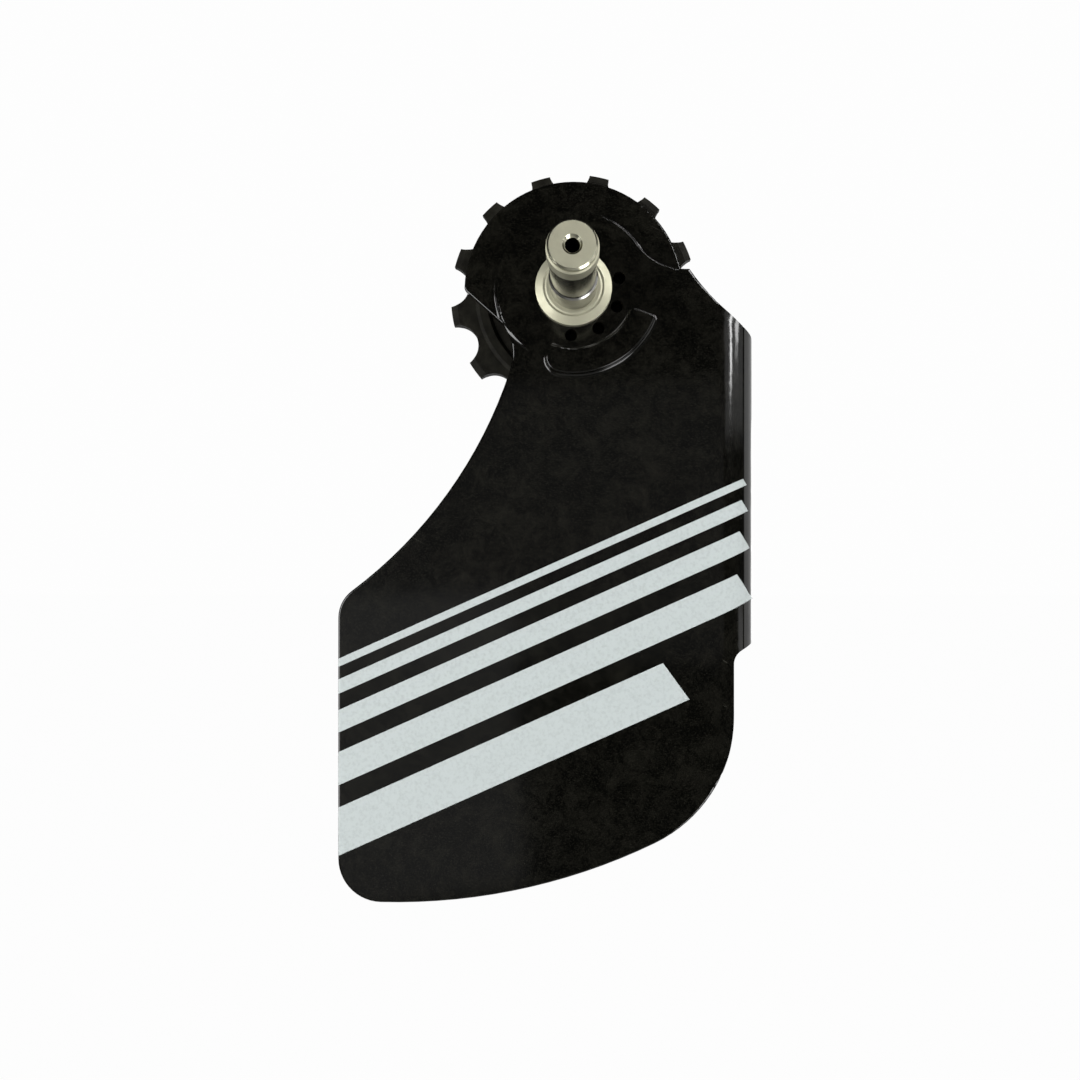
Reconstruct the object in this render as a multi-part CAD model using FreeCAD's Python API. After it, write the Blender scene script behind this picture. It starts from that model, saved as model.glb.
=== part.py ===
import FreeCAD, Part
import math
import os

os.makedirs("parts", exist_ok=True)

# Frame: the cage pivots about the Y axis. The origin is on that axis, on the axle's shoulder.
# +X points to the nose of the fairing, +Z points up and +Y points in towards the wheel.

# Chain and pulleys
CHAIN_PITCH = 12.7
ROLLER_SEAT_R = 4.3
UPPER_TEETH = 13
LOWER_TEETH = 19
UPPER_TOOTH_ANGLE = 22.7
LOWER_TOOTH_ANGLE = 90.0
TIP_BELOW_PITCH = 0.48
TOOTH_T = 2.0
TOOTH_TIP_T = 1.1
TOOTH_TIP_BEVEL = 1.4
RING_BELOW_PITCH = 5.73
RING_STEP_W = 0.75
RING_W = 2.4
RING_T = 3.0
WEB_T = 1.6
HUB_WALL = 1.6
LOWER_AXIS_X = -6.5
LOWER_AXIS_Z = -81.0

# Bearings
BEARING_BORE_R = 4.0
BEARING_OUTER_R = 8.0
BEARING_W = 5.0
BALL_R = 1.2
BALL_COUNT = 9
RACE_CLEARANCE = 0.05
SHOULDER_GAP = 1.7
SEAL_T = 0.3
SEAL_INSET = 0.15
SEAL_LAND = 0.35
SEAL_LIP_GAP = 0.1
RETAINER_WALL = 0.9
RETAINER_W = 3.2

# Plates
PLATE_T = 2.5
SHOULDER_RISE = 0.85
BOSS_T = 0.4
BOSS_MARGIN = 1.2
EDGE_R = 0.5
RIM_BELOW_PITCH = 3.93
RIM_STEP = 1.1
STEP_COVE_R = 0.5
DISC_R = 16.1
RUNOUT_R = 1.2
RUNOUT_D = 0.8
RUNOUT_LIFT = 0.14
RUNOUT_START = 186.0
RUNOUT_END = 245.0

# Fairing outline, seen from outside
LEDGE_LAND = 0.94
LEDGE_Z = 4.2
LEDGE_ANGLE = 35.0
NOSE_X = 37.7
NOSE_TOP_Z = -8.9
BROW_MID_X = 29.3
BROW_MID_Z = -2.4
NOSE_END_Z = -72.9
CHIN_X = 33.0
CHIN_TOP_Z = -75.2
CHIN_R = 28.8
BELLY_R = 121.9
BELLY_X = -36.3
BELLY_Z = -125.9
REAR_X = -48.35
HEEL_R = 9.0
SHOULDER_R = 7.0
SWEEP_R = 92.6
SWEEP_WAIST_X = -8.5
SWEEP_Z = 12.2
NECK_R = 11.0
CUT_Z = 0.2
CUT_ANGLE = 206.0
CUT_CORNER_R = 1.2
CUT_EDGE_R = 0.4
BROW_R = 1.8
LIP_R = 0.8
NOTCH_R = 3.0
OVERRUN = 10.0
PASS = 1.0

# Nose
NOSE_DEPTH = 9.0
NOSE_WALL = 1.8
LAP_STEP = 0.7
LAP_GAP = 0.2
LAP_W = 2.0
PART_GROOVE = 0.22

# Pivot axle
AXLE_R = 4.85
AXLE_L = 19.8
AXLE_NECK_R = 4.52
AXLE_TIP_R = 4.55
AXLE_GROOVE_R = 4.3
TIP_LAND_L = 0.7
TIP_GROOVE_L = 0.4
TIP_RING_L = 3.4
BASE_RING_L = 5.4
RING_EDGE_R = 0.3
TIP_CHAMFER = 0.35
FLANGE_R = 7.82
FLANGE_T = 1.6
FLANGE_FLAT_R = 6.3
FLANGE_BEVEL = 0.7
FLANGE_GROOVE_R = 5.85
FLANGE_GROOVE_W = 0.7
FLANGE_GROOVE_D = 0.12
FLANGE_SEAT_D = 0.3
TIP_HOLE_R = 1.35
TIP_SINK_R = 1.85
KEY_LAND = 0.15
KEY_STEP = 0.9

# Spring anchor
SPRING_HOLE_R = 1.25
SPRING_CIRCLE_R = 9.58
SPRING_FIRST_ANGLE = -93.3
SPRING_ANGLE_STEP = 35.5
SPRING_HOLES = 4
STOP_INNER_R = 12.6
STOP_OUTER_R = 17.6
STOP_START = -112.0
STOP_END = -20.0
STOP_H = 1.5
STOP_EDGE_R = 0.3
STOP_COVE_R = 0.8
STOP_CORNER_SHARE = 0.6
STOP_NOOK_R = 0.4

# Bolts and sleeve
BOLT_R = 2.5
BOLT_HEAD_R = 4.4
BOLT_HEAD_H = 1.5
BOLT_SOCKET_AF = 3.0
BOLT_SOCKET_D = 1.0
BOLT_ENGAGE = 5.5
SLEEVE_FLANGE_R = 6.5
SLEEVE_FLANGE_T = 1.0
SLEEVE_SKIN = 0.9

# Clearances
FIT = 0.02
BOLT_FIT = 0.1
HEAD_FIT = 0.3
FLANGE_FIT = 0.2
CLAMP_GAP = 0.2

# Levels along Y
FACE_Y = FLANGE_T
SEAT_Y = FACE_Y + FLANGE_SEAT_D
OUTER_BACK_Y = FACE_Y + PLATE_T
BOSS_Y = OUTER_BACK_Y + BOSS_T
BEARING_Y0 = OUTER_BACK_Y + SHOULDER_RISE
BEARING_Y1 = BEARING_Y0 + BEARING_W
MID_Y = (BEARING_Y0 + BEARING_Y1) / 2
INNER_FRONT_Y = BEARING_Y1 + SHOULDER_RISE
INNER_BACK_Y = INNER_FRONT_Y + PLATE_T
RIM_Y = FACE_Y + RIM_STEP
SPIGOT_R = BEARING_BORE_R - FIT
SPIGOT_END_Y = BEARING_Y1 - CLAMP_GAP

BALL_PITCH_R = (BEARING_BORE_R + BEARING_OUTER_R) / 2
INNER_SHOULDER_R = BALL_PITCH_R - SHOULDER_GAP / 2
OUTER_SHOULDER_R = BALL_PITCH_R + SHOULDER_GAP / 2
KEY_FLAT = INNER_SHOULDER_R + KEY_LAND
KEY_R = KEY_FLAT + KEY_STEP
HUB_R = BEARING_OUTER_R + HUB_WALL
SEAL_R = OUTER_SHOULDER_R + SEAL_LAND
HEAD_SEAT_Y = INNER_BACK_Y - BOLT_HEAD_H
LAP_Y = OUTER_BACK_Y - LAP_STEP
LAP_X = CHIN_X + LAP_GAP
NOSE_ROOT_X = NOSE_X - NOSE_DEPTH
SWEEP_X = SWEEP_WAIST_X - SWEEP_R

Y_AXIS = FreeCAD.Vector(0, 1, 0)


def pitch_radius(teeth):
    return CHAIN_PITCH / (2 * math.sin(math.pi / teeth))


RIM_R = pitch_radius(UPPER_TEETH) - RIM_BELOW_PITCH
Z_LOW = BELLY_Z - OVERRUN
Z_HIGH = RIM_R + OVERRUN


def at(x, z, y=0.0):
    return FreeCAD.Vector(x, y, z)


def polar(r, degrees, x=0.0, z=0.0):
    a = math.radians(degrees)
    return at(x + r * math.cos(a), z + r * math.sin(a))


def line(a, b):
    return Part.LineSegment(a, b).toShape()


def arc(a, mid, b):
    return Part.Arc(a, mid, b).toShape()


def prism(edges, y0, y1):
    face = Part.Face(Part.Wire(edges))
    face.translate(FreeCAD.Vector(0, y0, 0))
    return face.extrude(FreeCAD.Vector(0, y1 - y0, 0))


def polygon(points, y0, y1):
    closed = points + points[:1]
    return prism([line(a, b) for a, b in zip(closed, closed[1:])], y0, y1)


def cylinder(r, y0, y1, x=0.0, z=0.0):
    return Part.makeCylinder(r, y1 - y0, at(x, z, y0), Y_AXIS)


def turned(profile, x=0.0, z=0.0):
    points = [at(x + r, z, y) for r, y in profile]
    wire = Part.makePolygon(points + points[:1])
    return Part.Face(wire).revolve(at(x, z), Y_AXIS, 360)


def block(x0, x1, y0, y1, z0, z1):
    return Part.makeBox(x1 - x0, y1 - y0, z1 - z0, at(x0, z0, y0))


def mid_of(edge):
    return edge.valueAt((edge.FirstParameter + edge.LastParameter) / 2)


def radius_of(edge):
    return math.hypot(mid_of(edge).x, mid_of(edge).z)


def near(a, b):
    return abs(a - b) < 0.01


def save(shape, node):
    shape.exportStep("parts/" + node + ".step")


def belly_z(x):
    return BELLY_Z + BELLY_R - math.sqrt(BELLY_R ** 2 - (x - BELLY_X) ** 2)


def sweep_x(z):
    return SWEEP_X + math.sqrt(SWEEP_R ** 2 - (z - SWEEP_Z) ** 2)


CHIN_END_Z = belly_z(CHIN_X)
HEEL_Z = belly_z(REAR_X)
REAR_TOP_Z = SWEEP_Z - math.sqrt(SWEEP_R ** 2 - (REAR_X - SWEEP_X) ** 2)
CUT_START = at(-math.sqrt(RIM_R ** 2 - CUT_Z ** 2), CUT_Z)
CUT_END = polar(DISC_R, CUT_ANGLE)
CUT_ALONG = CUT_END - CUT_START


# Centre of the neck's arc, which touches the pivot disc and the rear sweep
def neck_centre():
    reach = DISC_R + NECK_R
    sweep = at(SWEEP_X, SWEEP_Z)
    along = (reach ** 2 + sweep.Length ** 2 - (SWEEP_R - NECK_R) ** 2) / (2 * sweep.Length)
    across = math.sqrt(reach ** 2 - along ** 2)
    return (sweep * along + at(-SWEEP_Z, SWEEP_X) * across) / sweep.Length


# Fairing outline: brow, nose, chin, belly, rear edge, rear sweep, neck, pivot disc, ledge
def fairing_outline():
    nose_top = at(NOSE_X, NOSE_TOP_Z)
    nose_end = at(NOSE_X, NOSE_END_Z)
    chin_top = at(CHIN_X, CHIN_TOP_Z)
    chin_end = at(CHIN_X, CHIN_END_Z)
    heel = at(REAR_X, HEEL_Z)
    rear_top = at(REAR_X, REAR_TOP_Z)
    sweep = at(SWEEP_X, SWEEP_Z)
    neck = neck_centre()
    neck_top = neck * (DISC_R / neck.Length)
    neck_end = sweep + (neck - sweep) * (SWEEP_R / (SWEEP_R - NECK_R))
    neck_chord = (neck_top + neck_end) / 2 - neck
    neck_mid = neck + neck_chord * (NECK_R / neck_chord.Length)
    neck_angle = 180 + math.degrees(math.atan2(-neck.z, -neck.x))
    sweep_mid_z = (REAR_TOP_Z + neck_end.z) / 2
    disc_end = polar(DISC_R, LEDGE_ANGLE)
    ledge_r = (disc_end.z - LEDGE_Z) / (1 - math.sin(math.radians(LEDGE_ANGLE)))
    ledge_start = at(disc_end.x + ledge_r * math.cos(math.radians(LEDGE_ANGLE)), LEDGE_Z)
    ledge_mid = polar(ledge_r, 225 + LEDGE_ANGLE / 2, ledge_start.x, LEDGE_Z + ledge_r)
    ledge = at(ledge_start.x + LEDGE_LAND, LEDGE_Z)
    return [
        arc(ledge, at(BROW_MID_X, BROW_MID_Z), nose_top),
        line(nose_top, nose_end),
        line(nose_end, chin_top),
        line(chin_top, chin_end),
        arc(chin_end, at(BELLY_X, BELLY_Z), heel),
        line(heel, rear_top),
        arc(rear_top, at(sweep_x(sweep_mid_z), sweep_mid_z), neck_end),
        arc(neck_end, neck_mid, neck_top),
        arc(neck_top, polar(DISC_R, (neck_angle + LEDGE_ANGLE) / 2), disc_end),
        arc(disc_end, ledge_mid, ledge_start),
        line(ledge_start, ledge),
    ]


def round_corner(shape, x, z, radius):
    upright = [e for e in shape.Edges if near(mid_of(e).x, x) and near(mid_of(e).z, z)]
    return shape.makeFillet(radius, upright)


def level_edges(shape, y):
    flat = [e for e in shape.Edges if near(mid_of(e).y, y)]
    return [e for e in flat if all(near(v.Y, y) for v in e.Vertexes)]


# Solid fairing: plan corners, softened edges, mirrored about the middle, then the half-ellipse nose
def fairing_blank():
    half = prism(fairing_outline(), FACE_Y, MID_Y)
    half = round_corner(half, NOSE_X, NOSE_TOP_Z, BROW_R)
    half = round_corner(half, NOSE_X, NOSE_END_Z, LIP_R)
    half = round_corner(half, CHIN_X, CHIN_TOP_Z, NOTCH_R)
    half = round_corner(half, CHIN_X, CHIN_END_Z, CHIN_R)
    half = round_corner(half, REAR_X, HEEL_Z, HEEL_R)
    half = round_corner(half, REAR_X, REAR_TOP_Z, SHOULDER_R)
    rear_edge = [e for e in level_edges(half, FACE_Y) if near(mid_of(e).x, REAR_X)]
    half = half.makeFillet(EDGE_R, rear_edge)
    blank = half.fuse(half.mirror(at(0, 0, MID_Y), Y_AXIS))
    corner = block(NOSE_ROOT_X, NOSE_X + PASS, FACE_Y - PASS, INNER_BACK_Y + PASS, Z_LOW, Z_HIGH)
    return blank.cut(corner.cut(nose_bar(NOSE_DEPTH, MID_Y - FACE_Y)))


# Bar of elliptical section that runs up the nose
def nose_bar(half_x, half_y):
    curve = Part.Ellipse(at(NOSE_ROOT_X, Z_LOW, MID_Y), half_x, half_y)
    return Part.Face(Part.Wire(curve.toShape())).extrude(FreeCAD.Vector(0, 0, Z_HIGH - Z_LOW))


# Space for the chain: open at the rear, the top and the foot, closed by the nose
def fairing_shell():
    gap = block(REAR_X - PASS, NOSE_ROOT_X, OUTER_BACK_Y, INNER_FRONT_Y, Z_LOW, Z_HIGH)
    bow = nose_bar(NOSE_DEPTH - NOSE_WALL, MID_Y - OUTER_BACK_Y)
    return fairing_blank().cut(gap).cut(bow)


# Side of the lapped parting that belongs to the outer plate
def outer_zone():
    x0 = REAR_X - PASS
    y0 = FACE_Y - PASS
    skin = block(x0, NOSE_X + PASS, y0, LAP_Y, Z_LOW, Z_HIGH)
    land = block(x0, LAP_X, y0, OUTER_BACK_Y, Z_LOW, Z_HIGH)
    root = block(x0, LAP_X - LAP_W, y0, MID_Y, Z_LOW, Z_HIGH)
    return skin.fuse(land).fuse(root)


# Fine groove that shows along the parting on the nose
def parting_groove():
    half = PART_GROOVE / 2
    slab = block(LAP_X, NOSE_X + PASS, LAP_Y - half, LAP_Y + half, Z_LOW, Z_HIGH)
    return slab.cut(nose_bar(NOSE_DEPTH - PART_GROOVE, MID_Y - FACE_Y - PART_GROOVE))


# Half plane above the straight cut at the rear of the rim, set back from it by inset
def above_cut(y0, y1, inset):
    far = 3 * RIM_R
    back = at(-CUT_ALONG.z, CUT_ALONG.x) * (inset / CUT_ALONG.Length)
    high = CUT_START - CUT_ALONG + back
    low = CUT_END + CUT_ALONG * 4 + back
    return polygon([high, low, at(far, far), at(-far, far)], y0, y1)


# Cove that softens the step from the low rim up to the pivot disc
def step_cove():
    low = at(DISC_R + STEP_COVE_R, 0, RIM_Y)
    high = at(DISC_R, 0, RIM_Y - STEP_COVE_R)
    foot = at(DISC_R, 0, RIM_Y)
    bulge = STEP_COVE_R * (1 - math.sqrt(0.5))
    edges = [arc(low, at(DISC_R + bulge, 0, RIM_Y - bulge), high), line(high, foot), line(foot, low)]
    ring = Part.Face(Part.Wire(edges)).revolve(at(0, 0), Y_AXIS, 360)
    return ring.common(above_cut(FACE_Y, OUTER_BACK_Y, CUT_EDGE_R))


# Hollow where the step round the pivot disc runs out into the plate below the neck
def step_runout():
    start = polar(DISC_R + RUNOUT_R, RUNOUT_START)
    mid = polar(DISC_R + (RUNOUT_R - EDGE_R) / 2, (RUNOUT_START + RUNOUT_END) / 2)
    end = polar(DISC_R - EDGE_R, RUNOUT_END)
    start.y = FACE_Y - RUNOUT_R + RUNOUT_D
    end.y = FACE_Y - RUNOUT_R - RUNOUT_LIFT
    mid.y = (start.y + end.y) / 2
    path = arc(start, mid, end)
    ring = Part.Circle(start, path.tangentAt(path.FirstParameter), RUNOUT_R).toShape()
    return Part.Wire(path).makePipeShell([Part.Wire(ring)], True, True)


# Low rim round the upper pulley, with its round edge on the side at edge_y
def rim(y0, y1, edge_y):
    disc = cylinder(RIM_R, y0, y1).common(above_cut(y0, y1, 0.0))
    disc = round_corner(disc, CUT_START.x, CUT_START.z, CUT_CORNER_R)
    return disc.makeFillet(CUT_EDGE_R, level_edges(disc, edge_y))


# Raised sector that limits the swing of the cage
def stop_sector():
    mid = (STOP_START + STOP_END) / 2
    corners = [polar(r, a) for r in (STOP_INNER_R, STOP_OUTER_R) for a in (STOP_START, STOP_END)]
    edges = [
        arc(corners[0], polar(STOP_INNER_R, mid), corners[1]),
        line(corners[1], corners[3]),
        arc(corners[3], polar(STOP_OUTER_R, mid), corners[2]),
        line(corners[2], corners[0]),
    ]
    sector = prism(edges, FACE_Y - STOP_H, FACE_Y + PLATE_T / 2)
    corner_r = STOP_CORNER_SHARE * (STOP_OUTER_R - STOP_INNER_R)
    sector = round_corner(sector, corners[2].x, corners[2].z, corner_r)
    for corner in (corners[0], corners[1], corners[3]):
        sector = round_corner(sector, corner.x, corner.z, STOP_NOOK_R)
    return sector.makeFillet(STOP_EDGE_R, level_edges(sector, FACE_Y - STOP_H))


def spring_holes():
    angles = [SPRING_FIRST_ANGLE + SPRING_ANGLE_STEP * i for i in range(SPRING_HOLES)]
    spots = [polar(SPRING_CIRCLE_R, a) for a in angles]
    return [cylinder(SPRING_HOLE_R, FACE_Y - PASS, BOSS_Y + PASS, p.x, p.z) for p in spots]


# Double-D section that stops the axle from turning in the plate
def key(y0, y1, gap):
    flat = KEY_FLAT + gap
    return cylinder(KEY_R + gap, y0, y1).common(block(-KEY_R * 2, KEY_R * 2, y0, y1, -flat, flat))


def make_outer_plate(shell):
    plate = shell.common(outer_zone()).fuse(rim(RIM_Y, OUTER_BACK_Y, RIM_Y)).fuse(step_cove())
    boss_r = SPRING_CIRCLE_R + SPRING_HOLE_R + BOSS_MARGIN
    plate = plate.fuse(cylinder(boss_r, OUTER_BACK_Y - PASS, BOSS_Y))
    lower_r = SLEEVE_FLANGE_R + BOSS_MARGIN
    plate = plate.fuse(cylinder(lower_r, OUTER_BACK_Y - PASS, BOSS_Y, LOWER_AXIS_X, LOWER_AXIS_Z))
    plate = plate.fuse(stop_sector()).removeSplitter()
    foot = [e for e in level_edges(plate, FACE_Y) if near(radius_of(e), STOP_OUTER_R)]
    plate = plate.makeFillet(STOP_COVE_R, foot)
    plate = plate.cut(step_runout()).cut(spring_holes())
    plate = plate.cut(cylinder(FLANGE_R + FLANGE_FIT, FACE_Y - PASS, SEAT_Y))
    plate = plate.cut(key(FACE_Y - PASS, BOSS_Y + PASS, FIT))
    flange_y = FACE_Y + SLEEVE_SKIN
    pocket_r = SLEEVE_FLANGE_R + FIT
    pocket = cylinder(pocket_r, flange_y, flange_y + SLEEVE_FLANGE_T, LOWER_AXIS_X, LOWER_AXIS_Z)
    stem = cylinder(INNER_SHOULDER_R + FIT, flange_y, BOSS_Y + PASS, LOWER_AXIS_X, LOWER_AXIS_Z)
    return plate.cut(pocket).cut(stem).cut(parting_groove())


def make_inner_plate(shell):
    rim_back_y = INNER_BACK_Y - RIM_STEP
    plate = shell.cut(outer_zone()).fuse(rim(INNER_FRONT_Y, rim_back_y, rim_back_y))
    for x, z in ((0.0, 0.0), (LOWER_AXIS_X, LOWER_AXIS_Z)):
        plate = plate.fuse(cylinder(INNER_SHOULDER_R, BEARING_Y1, INNER_FRONT_Y + PASS, x, z))
    plate = plate.removeSplitter()
    for x, z in ((0.0, 0.0), (LOWER_AXIS_X, LOWER_AXIS_Z)):
        plate = plate.cut(cylinder(BOLT_HEAD_R + HEAD_FIT, HEAD_SEAT_Y, INNER_BACK_Y + PASS, x, z))
        plate = plate.cut(cylinder(BOLT_R + BOLT_FIT, BEARING_Y1 - PASS, INNER_BACK_Y, x, z))
    return plate.cut(parting_groove())


# Turned axle: tip ring, neck, base ring, flange, double-D key, bearing shoulder, bearing spigot
def make_pivot_axle():
    tip = -AXLE_L
    groove = tip + TIP_LAND_L
    ring = groove + TIP_GROOVE_L
    neck = ring + TIP_RING_L
    tapped_end = SPIGOT_END_Y - BOLT_ENGAGE - CLAMP_GAP
    sink = TIP_SINK_R - TIP_HOLE_R
    half = FLANGE_GROOVE_W / 2
    body = turned([
        (TIP_HOLE_R, tip + sink),
        (TIP_SINK_R, tip),
        (AXLE_TIP_R - TIP_CHAMFER, tip),
        (AXLE_TIP_R, tip + TIP_CHAMFER),
        (AXLE_TIP_R, groove),
        (AXLE_GROOVE_R, groove),
        (AXLE_GROOVE_R, ring),
        (AXLE_R - RING_EDGE_R, ring),
        (AXLE_R, ring + RING_EDGE_R),
        (AXLE_R, neck - RING_EDGE_R),
        (AXLE_R - RING_EDGE_R, neck),
        (AXLE_NECK_R, neck),
        (AXLE_NECK_R, -BASE_RING_L),
        (AXLE_R - RING_EDGE_R, -BASE_RING_L),
        (AXLE_R, -BASE_RING_L + RING_EDGE_R),
        (AXLE_R, 0.0),
        (FLANGE_GROOVE_R - half, 0.0),
        (FLANGE_GROOVE_R, FLANGE_GROOVE_D),
        (FLANGE_GROOVE_R + half, 0.0),
        (FLANGE_FLAT_R, 0.0),
        (FLANGE_R, FLANGE_BEVEL),
        (FLANGE_R, SEAT_Y),
        (INNER_SHOULDER_R, SEAT_Y),
        (INNER_SHOULDER_R, BEARING_Y0),
        (SPIGOT_R, BEARING_Y0),
        (SPIGOT_R, SPIGOT_END_Y),
        (BOLT_R + FIT, SPIGOT_END_Y),
        (BOLT_R + FIT, tapped_end),
        (TIP_HOLE_R, tapped_end),
    ])
    collar = key(SEAT_Y, BOSS_Y, 0.0).cut(cylinder(SPIGOT_R, FACE_Y, BEARING_Y0))
    return body.fuse(collar).removeSplitter()


# Threaded sleeve held by its flange inside the outer plate
def make_lower_sleeve():
    flange_y = FACE_Y + SLEEVE_SKIN
    bottom = SPIGOT_END_Y - BOLT_ENGAGE - CLAMP_GAP
    return turned([
        (0.0, flange_y),
        (SLEEVE_FLANGE_R, flange_y),
        (SLEEVE_FLANGE_R, flange_y + SLEEVE_FLANGE_T),
        (INNER_SHOULDER_R, flange_y + SLEEVE_FLANGE_T),
        (INNER_SHOULDER_R, BEARING_Y0),
        (SPIGOT_R, BEARING_Y0),
        (SPIGOT_R, SPIGOT_END_Y),
        (BOLT_R + FIT, SPIGOT_END_Y),
        (BOLT_R + FIT, bottom),
        (0.0, bottom),
    ], LOWER_AXIS_X, LOWER_AXIS_Z)


def make_bolt(x, z):
    end = SPIGOT_END_Y - BOLT_ENGAGE
    edge = BOLT_HEAD_H / 4
    bolt = turned([
        (0.0, end),
        (BOLT_R - edge, end),
        (BOLT_R, end + edge),
        (BOLT_R, HEAD_SEAT_Y),
        (BOLT_HEAD_R, HEAD_SEAT_Y),
        (BOLT_HEAD_R, INNER_BACK_Y - edge),
        (BOLT_HEAD_R - edge, INNER_BACK_Y),
        (0.0, INNER_BACK_Y),
    ], x, z)
    corner = BOLT_SOCKET_AF / 2 / math.cos(math.radians(30))
    hexagon = [polar(corner, 60 * i, x, z) for i in range(6)]
    return bolt.cut(polygon(hexagon, INNER_BACK_Y - BOLT_SOCKET_D, INNER_BACK_Y + PASS))


# Pulley: turned blank with a dished web, then one roller seat between each pair of teeth
def make_pulley(teeth, tooth_angle, x, z):
    pitch_r = pitch_radius(teeth)
    tip_r = pitch_r - TIP_BELOW_PITCH
    ring_r = pitch_r - RING_BELOW_PITCH
    land_r = ring_r - RING_STEP_W
    dish_r = land_r - RING_W + RING_STEP_W
    slope = (RING_T - WEB_T) / 2
    half = [
        (BEARING_OUTER_R + FIT, BEARING_W / 2),
        (HUB_R, BEARING_W / 2),
        (HUB_R + slope, WEB_T / 2),
        (dish_r - slope, WEB_T / 2),
        (dish_r, RING_T / 2),
        (land_r, RING_T / 2),
        (ring_r, TOOTH_T / 2),
        (tip_r - TOOTH_TIP_BEVEL, TOOTH_T / 2),
        (tip_r, TOOTH_TIP_T / 2),
    ]
    front = [(r, MID_Y - h) for r, h in half]
    back = [(r, MID_Y + h) for r, h in reversed(half)]
    pulley = turned(front + back, x, z)
    step = 360.0 / teeth
    spots = [polar(pitch_r, tooth_angle + step * (i + 0.5), x, z) for i in range(teeth)]
    return pulley.cut([cylinder(ROLLER_SEAT_R, MID_Y - RING_T, MID_Y + RING_T, p.x, p.z) for p in spots])


def race(x, z):
    return Part.makeTorus(BALL_PITCH_R, BALL_R + RACE_CLEARANCE, at(x, z, MID_Y), Y_AXIS)


def make_inner_ring(x, z):
    ring = cylinder(INNER_SHOULDER_R, BEARING_Y0, BEARING_Y1, x, z)
    return ring.cut(cylinder(BEARING_BORE_R, BEARING_Y0 - PASS, BEARING_Y1 + PASS, x, z)).cut(race(x, z))


def make_outer_ring(x, z):
    depth = SEAL_INSET + SEAL_T
    ring = cylinder(BEARING_OUTER_R, BEARING_Y0, BEARING_Y1, x, z)
    ring = ring.cut(cylinder(OUTER_SHOULDER_R, BEARING_Y0 - PASS, BEARING_Y1 + PASS, x, z))
    ring = ring.cut(cylinder(SEAL_R + FIT, BEARING_Y0 - PASS, BEARING_Y0 + depth, x, z))
    ring = ring.cut(cylinder(SEAL_R + FIT, BEARING_Y1 - depth, BEARING_Y1 + PASS, x, z))
    return ring.cut(race(x, z))


def ball_spots(x, z):
    return [polar(BALL_PITCH_R, 360.0 / BALL_COUNT * i, x, z) for i in range(BALL_COUNT)]


def make_balls(x, z):
    spots = ball_spots(x, z)
    return Part.makeCompound([Part.makeSphere(BALL_R, at(p.x, p.z, MID_Y)) for p in spots])


def make_retainer(x, z):
    y0 = MID_Y - RETAINER_W / 2
    y1 = MID_Y + RETAINER_W / 2
    tube = cylinder(BALL_PITCH_R + RETAINER_WALL / 2, y0, y1, x, z)
    tube = tube.cut(cylinder(BALL_PITCH_R - RETAINER_WALL / 2, y0 - PASS, y1 + PASS, x, z))
    centre = at(x, z, MID_Y)
    pocket_r = BALL_R + RACE_CLEARANCE
    outward = [p + at(-x, -z) for p in ball_spots(x, z)]
    return tube.cut([Part.makeCylinder(pocket_r, BEARING_OUTER_R, centre, d) for d in outward])


def make_seal(y0, x, z):
    seal = cylinder(SEAL_R, y0, y0 + SEAL_T, x, z)
    return seal.cut(cylinder(INNER_SHOULDER_R + SEAL_LIP_GAP, y0 - PASS, y0 + SEAL_T + PASS, x, z))


shell = fairing_shell()
save(make_outer_plate(shell), "outer_plate")
save(make_inner_plate(shell), "inner_plate")
save(make_pivot_axle(), "pivot_axle")
save(make_lower_sleeve(), "lower_axle_sleeve")

wheels = [
    ("upper", UPPER_TEETH, UPPER_TOOTH_ANGLE, 0.0, 0.0),
    ("lower", LOWER_TEETH, LOWER_TOOTH_ANGLE, LOWER_AXIS_X, LOWER_AXIS_Z),
]
for name, teeth, tooth_angle, x, z in wheels:
    save(make_pulley(teeth, tooth_angle, x, z), name + "_pulley_wheel")
    save(make_bolt(x, z), name + "_bolt")
    save(make_inner_ring(x, z), name + "_bearing_inner_ring")
    save(make_outer_ring(x, z), name + "_bearing_outer_ring")
    save(make_balls(x, z), name + "_bearing_balls")
    save(make_retainer(x, z), name + "_ball_retainer")
    save(make_seal(BEARING_Y0 + SEAL_INSET, x, z), name + "_outer_seal")
    save(make_seal(BEARING_Y1 - SEAL_INSET - SEAL_T, x, z), name + "_inner_seal")
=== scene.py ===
import math

import bpy
import numpy as np
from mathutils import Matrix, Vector


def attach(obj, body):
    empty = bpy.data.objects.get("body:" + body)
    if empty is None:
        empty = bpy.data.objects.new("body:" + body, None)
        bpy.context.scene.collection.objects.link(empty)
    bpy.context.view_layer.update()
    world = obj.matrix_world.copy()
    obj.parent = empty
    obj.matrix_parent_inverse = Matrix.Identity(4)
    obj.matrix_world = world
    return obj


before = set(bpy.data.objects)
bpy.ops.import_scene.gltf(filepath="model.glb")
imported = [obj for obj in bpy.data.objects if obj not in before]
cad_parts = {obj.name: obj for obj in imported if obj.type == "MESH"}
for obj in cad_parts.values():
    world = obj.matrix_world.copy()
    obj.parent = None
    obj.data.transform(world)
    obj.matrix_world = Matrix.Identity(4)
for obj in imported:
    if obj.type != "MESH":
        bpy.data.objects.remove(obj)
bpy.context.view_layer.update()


# Outer plate: the outer half of the fairing, with the pivot disc, the low rim and the swing stop.
# It is one injection moulding of nylon filled with short carbon fibre. The axle is keyed into it,
# and it laps over the inner plate along the nose.
MM = 0.001


def linear(hex_colour):
    """Linear RGBA of an sRGB hex value: each channel goes back through the sRGB curve."""
    srgb = np.array([int(hex_colour[i:i + 2], 16) for i in (1, 3, 5)]) / 255
    curve = np.where(srgb <= 0.04045, srgb / 12.92, ((srgb + 0.055) / 1.055) ** 2.4)
    return (*curve.tolist(), 1.0)


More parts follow.
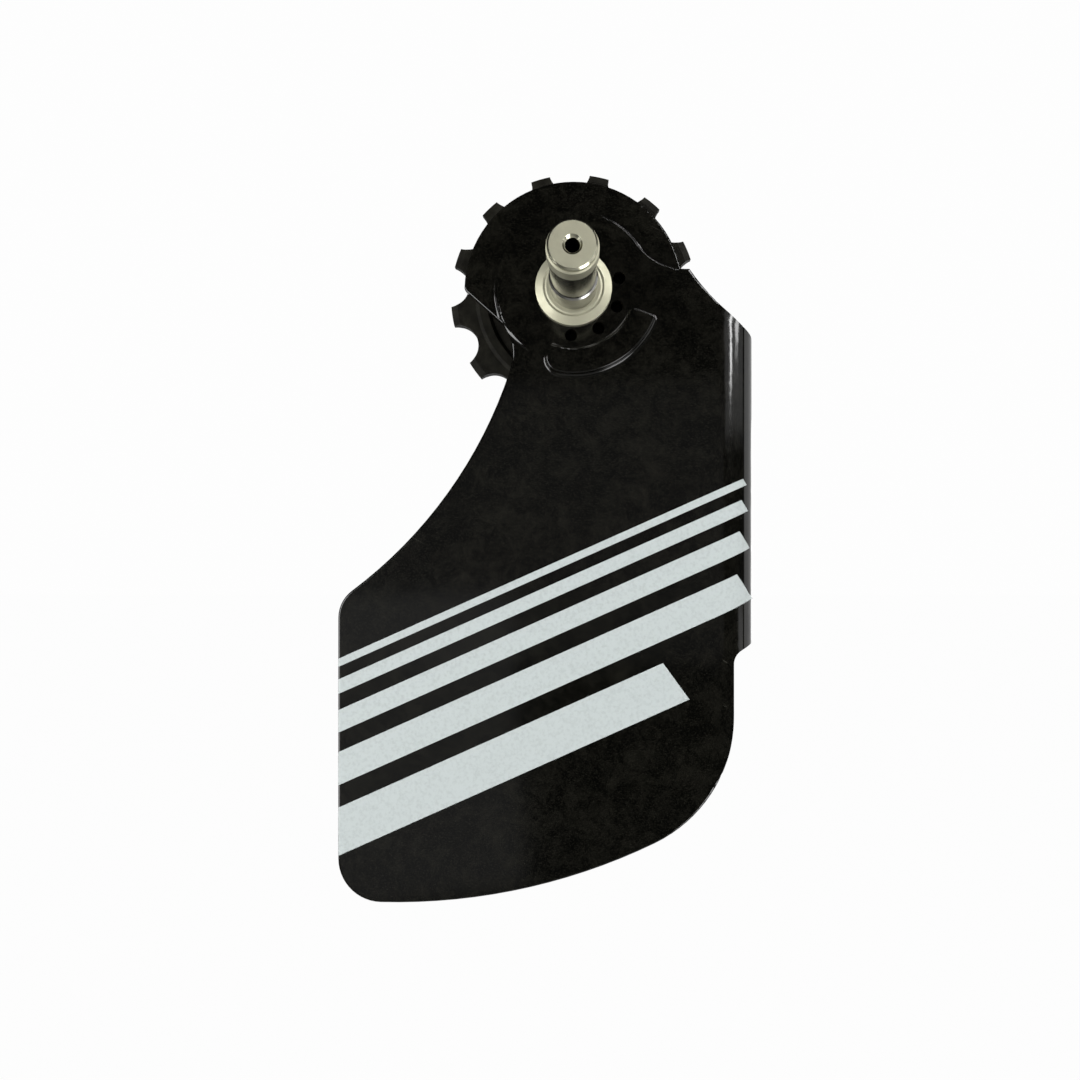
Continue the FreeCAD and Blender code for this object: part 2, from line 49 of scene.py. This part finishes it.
def feed(tree, made, inputs):
    """Gives a node its inputs: a socket is linked, and anything else is set as a constant.

    An input goes by its name, or by its number where several share a name, as a Mix node's do:
    6 and 7 are its two colours and output 2 is the mixed one, 2, 3 and output 0 are plain values.
    """
    for name, value in inputs.items():
        if isinstance(value, bpy.types.NodeSocket):
            tree.links.new(value, made.inputs[name])
        else:
            made.inputs[name].default_value = value


def node(tree, kind, settings, inputs):
    """Adds a node, with its own settings and its inputs."""
    made = tree.nodes.new("ShaderNode" + kind)
    for name, value in settings.items():
        setattr(made, name, value)
    feed(tree, made, inputs)
    return made


def surface(name):
    """A new material, with its node tree, its Principled shader and its Object coordinates."""
    material = bpy.data.materials.new(name)
    material.use_nodes = True
    tree = material.node_tree
    place = node(tree, "TexCoord", {}, {}).outputs["Object"]
    return material, tree, tree.nodes["Principled BSDF"], place


def dress(material, *cad_nodes):
    """Puts a material into every slot of these CAD nodes."""
    for name in cad_nodes:
        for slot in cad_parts[name].material_slots:
            slot.material = material


# Moulded short-fibre nylon: near black and faintly olive, half gloss. The melt leaves grey marbling
# a few millimetres across, fibre ends speckle it, and handling leaves a few hairline rubs.
MARBLE_SIZE = 4.5 * MM
SPECKLE_SIZE = 0.28 * MM
SPECKLE_DEPTH = 0.003 * MM
RUB_WIDTH = 0.4 * MM
RUB_STRETCH = 22.0
NYLON_BLACK = "#020201"
MARBLE_GREY = "#1C1B16"
SPECKLE_GREY = "#1F1E19"
RUB_GREY = "#32312C"
NYLON_GLOSS = (0.07, 0.14)
NYLON_IOR = 1.5


def moulded_fibre_nylon(name, turn):
    """The plates' nylon. turn swings its rubs about Y, so the two plates are not marked alike.

    Marbling, speckle and rubs are laid over the black in turn, each where its noise is high.
    """
    material, tree, shader, place = surface(name)
    marble = node(tree, "TexNoise", {}, {"Vector": place, "Scale": 1 / MARBLE_SIZE, "Detail": 8.0,
                                         "Roughness": 0.86, "Distortion": 0.5}).outputs["Fac"]
    speckle = node(tree, "TexNoise", {},
                   {"Vector": place, "Scale": 1 / SPECKLE_SIZE, "Detail": 2.0}).outputs["Fac"]
    along = node(tree, "Mapping", {"vector_type": "TEXTURE"},
                 {"Vector": place, "Rotation": (0.0, turn, 0.0),
                  "Scale": (RUB_STRETCH, 1.0, 1.0)}).outputs["Vector"]
    streaks = node(tree, "TexNoise", {},
                   {"Vector": along, "Scale": 1 / RUB_WIDTH, "Detail": 0.0}).outputs["Fac"]
    colour = linear(NYLON_BLACK)
    for noise, (low, high), grey in ((marble, (0.45, 0.72), MARBLE_GREY),
                                     (speckle, (0.52, 0.80), SPECKLE_GREY),
                                     (streaks, (0.82, 0.92), RUB_GREY)):
        cover = node(tree, "MapRange", {},
                     {"Value": noise, "From Min": low, "From Max": high}).outputs["Result"]
        colour = node(tree, "Mix", {"data_type": "RGBA"},
                      {0: cover, 6: colour, 7: linear(grey)}).outputs[2]
    gloss = node(tree, "MapRange", {},
                 {"Value": marble, "From Min": 0.35, "From Max": 0.65,
                  "To Min": NYLON_GLOSS[0], "To Max": NYLON_GLOSS[1]}).outputs["Result"]
    relief = node(tree, "Bump", {}, {"Height": speckle, "Distance": SPECKLE_DEPTH, "Strength": 0.5})
    feed(tree, shader, {"Base Color": colour, "Roughness": gloss,
                        "Normal": relief.outputs["Normal"], "IOR": NYLON_IOR})
    return material


OUTER_RUB_TURN = 0.5
dress(moulded_fibre_nylon("moulded_fibre_nylon_outer", OUTER_RUB_TURN), "outer_plate")


# Print on the outer plate: slanted bars that thin out upwards, screened in pale grey ink.
# The ink is a film on the moulded skin, so each bar follows the face, the rear edge and the nose.
# WRAP is the share of the edge's and the nose's curve that the ink may reach.
FACE_Y = 1.6 * MM
EDGE_R = 0.5 * MM
REAR_X = -48.35 * MM
NOSE_ROOT_X = 28.7 * MM
NOSE_DEPTH = 9.0 * MM
NOSE_HALF_T = 5.85 * MM
WRAP = 0.9
BAR_SLOPE = math.radians(24.0)
BAR_START_X = REAR_X + 0.15 * MM
BAR_END_CUT = 0.6
POINTS_ALONG = 400
POINTS_ACROSS = 7
INK_T = 0.02 * MM
INK_GRAIN = 0.6 * MM
INK_GRAIN_DEPTH = 0.004 * MM
INK_THIN = "#BCC4C3"
INK_FULL = "#C9D1D0"
scene = bpy.context.scene


def skin(x):
    """Depth y of the plate's outer skin at x, with its outward normal in the XY plane.

    The skin is flat, a quarter circle at the rear edge and a quarter ellipse on the nose.
    """
    rear = np.clip(REAR_X + EDGE_R - x, 0, EDGE_R * WRAP)
    nose = np.clip((x - NOSE_ROOT_X) / NOSE_DEPTH, 0, WRAP)
    rear_rise = np.sqrt(EDGE_R ** 2 - rear ** 2)
    nose_rise = np.sqrt(1 - nose ** 2)
    y = FACE_Y + EDGE_R - rear_rise + NOSE_HALF_T * (1 - nose_rise)
    slope = NOSE_HALF_T / NOSE_DEPTH * nose / nose_rise - rear / rear_rise
    size = np.sqrt(1 + slope ** 2)
    return y, slope / size, -1 / size


def grid_mesh(name, points):
    """A mesh of quads from an array of points, rows by columns by three."""
    rows, columns = points.shape[:2]
    index = np.arange(rows * columns).reshape(rows, columns)
    quads = np.stack([index[:-1, :-1], index[:-1, 1:], index[1:, 1:], index[1:, :-1]], axis=-1)
    mesh = bpy.data.meshes.new(name)
    mesh.from_pydata(points.reshape(-1, 3).tolist(), [], quads.reshape(-1, 4).tolist())
    mesh.polygons.foreach_set("use_smooth", np.ones(len(mesh.polygons), bool))
    mesh.update()
    made = bpy.data.objects.new(name, mesh)
    scene.collection.objects.link(made)
    return made


def printed_bar(name, width, level, end_x):
    """One slanted bar of ink: s runs along x from start to end, t across the width.

    Its middle is the line z = level + x tan(slope), and its far end is cut along the other slope.
    """
    s, t = np.meshgrid(np.linspace(0, 1, POINTS_ALONG), np.linspace(-0.5, 0.5, POINTS_ACROSS),
                       indexing="ij")
    x = BAR_START_X + (end_x - BAR_START_X - t * width * BAR_END_CUT) * s
    z = level + x * math.tan(BAR_SLOPE) + t * width / math.cos(BAR_SLOPE)
    y, out_x, out_y = skin(x)
    made = grid_mesh(name, np.stack([x + INK_T * out_x, y + INK_T * out_y, z], axis=-1))
    made.data.materials.append(ink)
    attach(made, "cage")


# Screen ink: a pale, cool grey film with a soft sheen. It is a little thin in places, so the
# fibres below it show as faint grey specks.
ink, tree, shader, place = surface("screen_ink_pale_grey")
thin = node(tree, "TexNoise", {},
            {"Vector": place, "Scale": 1 / INK_GRAIN, "Detail": 3.0}).outputs["Fac"]
cover = node(tree, "MapRange", {},
             {"Value": thin, "From Min": 0.25, "From Max": 0.55}).outputs["Result"]
film = node(tree, "Mix", {"data_type": "RGBA"},
            {0: cover, 6: linear(INK_THIN), 7: linear(INK_FULL)}).outputs[2]
relief = node(tree, "Bump", {}, {"Height": thin, "Distance": INK_GRAIN_DEPTH, "Strength": 0.5})
feed(tree, shader, {"Base Color": film, "Normal": relief.outputs["Normal"], "Roughness": 0.48})

# Width and level of each bar, with the x where it ends, in millimetres. The lowest stops short.
NOSE_END = 35.5
BARS = ((9.0, -89.8, 21.0), (6.2, -76.9, NOSE_END), (4.2, -67.2, NOSE_END),
        (2.7, -60.1, NOSE_END), (1.5, -55.2, NOSE_END))
for number, (width, level, end_x) in enumerate(BARS, start=1):
    printed_bar(f"printed_bar_{number}", width * MM, level * MM, end_x * MM)


# Pivot axle: the pin that the whole cage swings on, with two bearing rings and a flange.
# It is turned from aluminium bar, satin anodised, and held in the plate by a double-D key.
UPPER_CENTRE = (0.0, 0.0)
FEED_MARK = 0.25 * MM
TOOL_MARK_DEPTH = 0.002 * MM
STAIN_SIZE = 2.0 * MM
STAIN_DULLING = (-0.05, 0.06)
BURNISHED = 0.2


def about_axis(tree, place, centre):
    """Radius from the axis along Y through centre, given as x and z, and the depth y along it."""
    local = node(tree, "Mapping", {},
                 {"Vector": place, "Location": (-centre[0], 0.0, -centre[1])}).outputs["Vector"]
    axes = node(tree, "SeparateXYZ", {}, {"Vector": local}).outputs
    flat = node(tree, "CombineXYZ", {}, {"X": axes["X"], "Z": axes["Z"]}).outputs["Vector"]
    return node(tree, "VectorMath", {"operation": "LENGTH"}, {0: flat}).outputs["Value"], axes["Y"]


def tool_rings(tree, run, pitch):
    """A sine wave of the given pitch along run."""
    phase = node(tree, "Math", {"operation": "MULTIPLY"},
                 {0: run, 1: 2 * math.pi / pitch}).outputs["Value"]
    return node(tree, "Math", {"operation": "SINE"}, {0: phase}).outputs["Value"]


def turned_metal(name, hex_colour, centre, pitch, roughness, zones=()):
    """A turned metal. Its tool marks are rings of the given pitch in the sum of radius and depth.

    Each zone is a measure, radius or depth, the span of it that is burnished, and the colour there.
    """
    material, tree, shader, place = surface(name)
    radius, depth = about_axis(tree, place, centre)
    measures = {"radius": radius, "depth": depth}
    run = node(tree, "Math", {"operation": "ADD"}, {0: radius, 1: depth}).outputs["Value"]
    relief = node(tree, "Bump", {}, {"Height": tool_rings(tree, run, pitch),
                                     "Distance": TOOL_MARK_DEPTH, "Strength": 0.4})
    stain = node(tree, "TexNoise", {},
                 {"Vector": place, "Scale": 1 / STAIN_SIZE, "Detail": 4.0}).outputs["Fac"]
    finish = node(tree, "MapRange", {},
                  {"Value": stain, "From Min": 0.3, "From Max": 0.7,
                   "To Min": roughness + STAIN_DULLING[0],
                   "To Max": roughness + STAIN_DULLING[1]}).outputs["Result"]
    tint = linear(hex_colour)
    for measure, (low, high), zone_colour in zones:
        middle, reach = (low + high) / 2, (high - low) / 2
        inside = node(tree, "Math", {"operation": "COMPARE"},
                      {0: measures[measure], 1: middle, 2: reach}).outputs["Value"]
        finish = node(tree, "Mix", {}, {0: inside, 2: finish, 3: BURNISHED}).outputs[0]
        tint = node(tree, "Mix", {"data_type": "RGBA"},
                    {0: inside, 6: tint, 7: linear(zone_colour)}).outputs[2]
    feed(tree, shader, {"Base Color": tint, "Metallic": 1.0, "Roughness": finish,
                        "Normal": relief.outputs["Normal"]})
    return material


# Satin anodised aluminium: warm grey and soft, with feed marks drawn at 0.25 mm, coarser than
# real ones, so that they show. The tip's chamfer and hole are burnished bright. The neck is
# burnished too, and painted a darker neutral grey: a painted reflection of the dim room around it.
SATIN = "#C8C6B0"
NECK_PAINTED_SHADE = "#A3A29E"
# The neck zone's darker grey is painted shade, standing in for the dim room the neck reflects.
AXLE_ZONES = (("radius", (0.0, 1.4 * MM), SATIN),
              ("depth", (-19.78 * MM, -19.4 * MM), SATIN),
              ("depth", (-15.2 * MM, -0.1 * MM), NECK_PAINTED_SHADE))
axle_metal = turned_metal("satin_anodised_aluminium", SATIN, UPPER_CENTRE, FEED_MARK,
                          roughness=0.60, zones=AXLE_ZONES)
dress(axle_metal, "pivot_axle")


# Lower sleeve: the threaded seat of the lower pulley. It is turned from the same aluminium, and
# its flange is moulded into the outer plate.
LOWER_CENTRE = (-6.5 * MM, -81.0 * MM)
TURNED_GREY = "#C9C5B4"
sleeve_metal = turned_metal("turned_aluminium_sleeve", TURNED_GREY, LOWER_CENTRE, FEED_MARK,
                            roughness=0.36)
dress(sleeve_metal, "lower_axle_sleeve")


# Ball bearings: ground steel rings, polished balls in a moulded retainer, and a rubber seal on
# each side. The inner rings sit on the axle and the sleeve, and the outer rings in the pulleys.
GRINDING_MARK = 0.2 * MM
HAZE_SIZE = 0.8 * MM
FLOW_SIZE = 1.5 * MM
RUBBER_GRAIN = 0.3 * MM
RUBBER_GRAIN_DEPTH = 0.01 * MM
RING_STEEL = "#BDBDBB"
BALL_STEEL = "#CFCFCD"
TAN_DARK, TAN_PALE = "#8B7C5E", "#A69776"
RUBBER_DARK, RUBBER_PALE = "#141414", "#202020"

# Ground bearing steel: cool grey and bright, with fine grinding rings about the bearing's axis.
for name, centre in (("upper", UPPER_CENTRE), ("lower", LOWER_CENTRE)):
    ground = turned_metal(f"ground_bearing_steel_{name}", RING_STEEL, centre, GRINDING_MARK,
                          roughness=0.24)
    dress(ground, f"{name}_bearing_inner_ring", f"{name}_bearing_outer_ring")

# Polished bearing steel: clear reflections, with the faintest haze.
polished, tree, shader, place = surface("polished_bearing_balls")
haze = node(tree, "TexNoise", {},
            {"Vector": place, "Scale": 1 / HAZE_SIZE, "Detail": 2.0}).outputs["Fac"]
dull = node(tree, "MapRange", {}, {"Value": haze, "To Min": 0.06, "To Max": 0.14}).outputs["Result"]
feed(tree, shader, {"Base Color": linear(BALL_STEEL), "Metallic": 1.0, "Roughness": dull})
dress(polished, "upper_bearing_balls", "lower_bearing_balls")

# Moulded retainer nylon: an undyed tan, slightly waxy, with faint flow clouds.
waxy, tree, shader, place = surface("moulded_retainer_nylon")
flow = node(tree, "TexNoise", {},
            {"Vector": place, "Scale": 1 / FLOW_SIZE, "Detail": 3.0}).outputs["Fac"]
tan = node(tree, "Mix", {"data_type": "RGBA"},
           {0: flow, 6: linear(TAN_DARK), 7: linear(TAN_PALE)}).outputs[2]
feed(tree, shader, {"Base Color": tan, "Roughness": 0.45})
dress(waxy, "upper_ball_retainer", "lower_ball_retainer")

# Moulded seal rubber: flat black, with a fine moulded grain that breaks up any shine.
rubber, tree, shader, place = surface("moulded_seal_rubber")
grain = node(tree, "TexNoise", {},
             {"Vector": place, "Scale": 1 / RUBBER_GRAIN, "Detail": 2.0}).outputs["Fac"]
black = node(tree, "Mix", {"data_type": "RGBA"},
             {0: grain, 6: linear(RUBBER_DARK), 7: linear(RUBBER_PALE)}).outputs[2]
relief = node(tree, "Bump", {}, {"Height": grain, "Distance": RUBBER_GRAIN_DEPTH, "Strength": 0.5})
feed(tree, shader, {"Base Color": black, "Normal": relief.outputs["Normal"], "Roughness": 0.68})
dress(rubber, "upper_outer_seal", "upper_inner_seal", "lower_outer_seal", "lower_inner_seal")


# Pulley wheels: the small guide wheel and the large tension wheel that the chain runs over.
# They are machined from black nylon, with a thin web, a raised ring and beveled teeth.
RING_PITCH = 0.6 * MM
RING_DEPTH = 0.004 * MM
WORN_PATCH = 3.0 * MM
PULLEY_BLACK = "#161511"
PULLEY_WORN = "#2B2A24"


def machined_nylon(name, centre):
    """Machined black nylon: matt, with turning rings about its centre and paler rubbed patches."""
    material, tree, shader, place = surface(name)
    rub = node(tree, "TexNoise", {},
               {"Vector": place, "Scale": 1 / WORN_PATCH, "Detail": 5.0}).outputs["Fac"]
    worn = node(tree, "MapRange", {},
                {"Value": rub, "From Min": 0.35, "From Max": 0.75}).outputs["Result"]
    shade = node(tree, "Mix", {"data_type": "RGBA"},
                 {0: worn, 6: linear(PULLEY_BLACK), 7: linear(PULLEY_WORN)}).outputs[2]
    radius = about_axis(tree, place, centre)[0]
    relief = node(tree, "Bump", {}, {"Height": tool_rings(tree, radius, RING_PITCH),
                                     "Distance": RING_DEPTH, "Strength": 0.5})
    feed(tree, shader, {"Base Color": shade, "Normal": relief.outputs["Normal"],
                        "Roughness": 0.6, "Specular IOR Level": 0.08})
    return material


dress(machined_nylon("machined_nylon_upper", UPPER_CENTRE), "upper_pulley_wheel")
dress(machined_nylon("machined_nylon_lower", LOWER_CENTRE), "lower_pulley_wheel")


# Inner plate: the wheel-side half of the fairing, moulded from the same nylon. It takes most of
# the nose's thickness, and one bolt at each pulley clamps it on.
INNER_RUB_TURN = -0.4
dress(moulded_fibre_nylon("moulded_fibre_nylon_inner", INNER_RUB_TURN), "inner_plate")


# Bolts: two low-head steel screws with hexagon sockets, blackened in a hot salt bath.
# They go in from the wheel side, into the axle and the sleeve.
OXIDE_CLOUD = 1.2 * MM
OXIDE_DARK, OXIDE_PALE = "#26262A", "#3E3D3F"

# Black oxide steel: a deep grey-black film over metal, slightly oily and uneven.
oxide, tree, shader, place = surface("black_oxide_steel")
film = node(tree, "TexNoise", {},
            {"Vector": place, "Scale": 1 / OXIDE_CLOUD, "Detail": 4.0}).outputs["Fac"]
shade = node(tree, "Mix", {"data_type": "RGBA"},
             {0: film, 6: linear(OXIDE_DARK), 7: linear(OXIDE_PALE)}).outputs[2]
dull = node(tree, "MapRange", {}, {"Value": film, "To Min": 0.28, "To Max": 0.46}).outputs["Result"]
feed(tree, shader, {"Base Color": shade, "Metallic": 1.0, "Roughness": dull})
dress(oxide, "upper_bolt", "lower_bolt")


# Studio: the part hangs over a pale floor. A white sweep stands behind it and to its right, and the
# room in front is dim, so the flat black face stays dark. Soft boxes stand off to the sides, and
# two grey cards in front give that face a faint sheen.
SWEEP_TURN = math.radians(30.0)
SWEEP_FACING = (math.sin(SWEEP_TURN), math.cos(SWEEP_TURN), 0.0)
SWEEP_FADE = (0.2, 0.5)
SWEEP_TOP = (0.288, 0.36)
SWEEP_LEVEL = 0.985
ROOM_LEVEL = 0.03
FLOOR_Z = -1.0
FLOOR_REACH = 20.0
FLOOR_FADE = (0.2, 1.0)
FLOOR_WHITE = 0.98
WHITE = "#FFFFFF"
PAPER = "#F4F4F2"


def seen_white(tree, place, fade):
    """How much white a ray sees. A camera ray sees all of it.

    A mirrored ray sees it grow over the fade towards the sweep, and die out at the sweep's top.
    """
    rays = node(tree, "LightPath", {}, {}).outputs
    towards = node(tree, "VectorMath", {"operation": "DOT_PRODUCT"},
                   {0: place, 1: SWEEP_FACING}).outputs["Value"]
    height = node(tree, "SeparateXYZ", {}, {"Vector": place}).outputs["Z"]
    behind = node(tree, "MapRange", {},
                  {"Value": towards, "From Min": fade[0], "From Max": fade[1]}).outputs["Result"]
    below = node(tree, "MapRange", {},
                 {"Value": height, "From Min": SWEEP_TOP[0], "From Max": SWEEP_TOP[1],
                  "To Min": 1.0, "To Max": 0.0}).outputs["Result"]
    wall = node(tree, "Math", {"operation": "MULTIPLY"}, {0: behind, 1: below}).outputs["Value"]
    mirrored = node(tree, "Math", {"operation": "MAXIMUM"},
                    {0: rays["Is Glossy Ray"], 1: rays["Is Transmission Ray"]}).outputs["Value"]
    bright = node(tree, "Math", {"operation": "MULTIPLY"}, {0: mirrored, 1: wall}).outputs["Value"]
    return node(tree, "Math", {"operation": "MAXIMUM"},
                {0: bright, 1: rays["Is Camera Ray"]}).outputs["Value"]


# Pale floor paper: white in the picture, with soft shadows. It lies below the sweep's top all over.
paper, tree, shader, place = surface("pale_floor_paper")
share = node(tree, "Math", {"operation": "MULTIPLY"},
             {0: seen_white(tree, place, FLOOR_FADE), 1: FLOOR_WHITE}).outputs["Value"]
white = node(tree, "Emission", {}, {"Color": linear(WHITE), "Strength": 1.0}).outputs["Emission"]
mixed = node(tree, "MixShader", {},
             {0: share, 1: shader.outputs["BSDF"], 2: white}).outputs["Shader"]
feed(tree, tree.nodes["Material Output"], {"Surface": mixed})
feed(tree, shader, {"Base Color": linear(PAPER), "Roughness": 0.9})

corners = np.array([[(-1, -1, 0), (1, -1, 0)], [(-1, 1, 0), (1, 1, 0)]], float)
floor = grid_mesh("floor", FLOOR_REACH * corners + np.array([0.0, 0.0, FLOOR_Z]))
floor.data.materials.append(paper)

# The world is white to the camera all round. Mirrored, it is white at the sweep and dim elsewhere.
world = bpy.data.worlds.new("white_sweep")
scene.world = world
world.use_nodes = True
tree = world.node_tree
heading = node(tree, "TexCoord", {}, {}).outputs["Generated"]
shown = seen_white(tree, heading, SWEEP_FADE)
level = node(tree, "MapRange", {}, {"Value": shown, "To Min": ROOM_LEVEL, "To Max": SWEEP_LEVEL})
feed(tree, tree.nodes["Background"], {"Color": linear(WHITE), "Strength": level.outputs["Result"]})

# Each lamp's direction from the part's middle, its distance, width and height in metres, and its
# radiance. The strips draw the lines along the nose, and the sheet the grey band beside them.
PART_MIDDLE = np.array([0.0, 0.0, -50.0 * MM])
LAMPS = (("box_back", (0.30, 0.93, -0.15), 0.80, 0.90, 0.60, 1.2),
         ("box_left", (-0.78, -0.58, -0.03), 0.75, 0.40, 0.60, 7.0),
         ("strip_right_near", (0.60, -0.60, 0.51), 0.75, 0.045, 0.44, 20.0),
         ("strip_right_far", (0.71, -0.42, 0.56), 0.75, 0.12, 0.44, 10.0),
         ("strip_right_high", (0.40, -0.42, 0.82), 0.75, 0.06, 0.26, 10.0),
         ("sheet_right", (0.70, -0.54, 0.47), 0.90, 0.64, 0.56, 0.55),
         ("box_right_low", (0.62, -0.38, -0.62), 0.42, 0.20, 0.20, 6.0),
         ("grey_card_front", (0.02, -1.0, 0.05), 1.0, 1.10, 0.44, 0.095),
         ("grey_card_left", (-0.30, -1.0, -0.29), 1.0, 0.38, 0.44, 0.22))
for name, direction, distance, width, height, radiance in LAMPS:
    aim = np.array(direction) / np.linalg.norm(direction)
    lamp = bpy.data.lights.new(name, "AREA")
    lamp.shape = "RECTANGLE"
    lamp.size = width
    lamp.size_y = height
    lamp.energy = radiance * math.pi * width * height
    soft_box = bpy.data.objects.new(name, lamp)
    soft_box.location = PART_MIDDLE + aim * distance
    soft_box.rotation_euler = (-Vector(aim)).to_track_quat("-Z", "Y").to_euler()
    soft_box.visible_camera = False
    scene.collection.objects.link(soft_box)

# The camera is level and close, 150 mm in front of the axle's shoulder, so the axle leans outwards.
camera = bpy.data.cameras.new("camera")
camera.sensor_width = 36.0
camera.lens = 24.67
camera.shift_x = -0.0384
camera.shift_y = 0.0185
camera.clip_start = 0.005
camera.clip_end = 60.0
viewer = bpy.data.objects.new("camera", camera)
viewer.location = (1.6 * MM, -150.0 * MM, -55.6 * MM)
viewer.rotation_euler = (math.radians(90.0), 0.0, 0.0)
scene.collection.objects.link(viewer)
scene.camera = viewer
scene.view_settings.view_transform = "Standard"
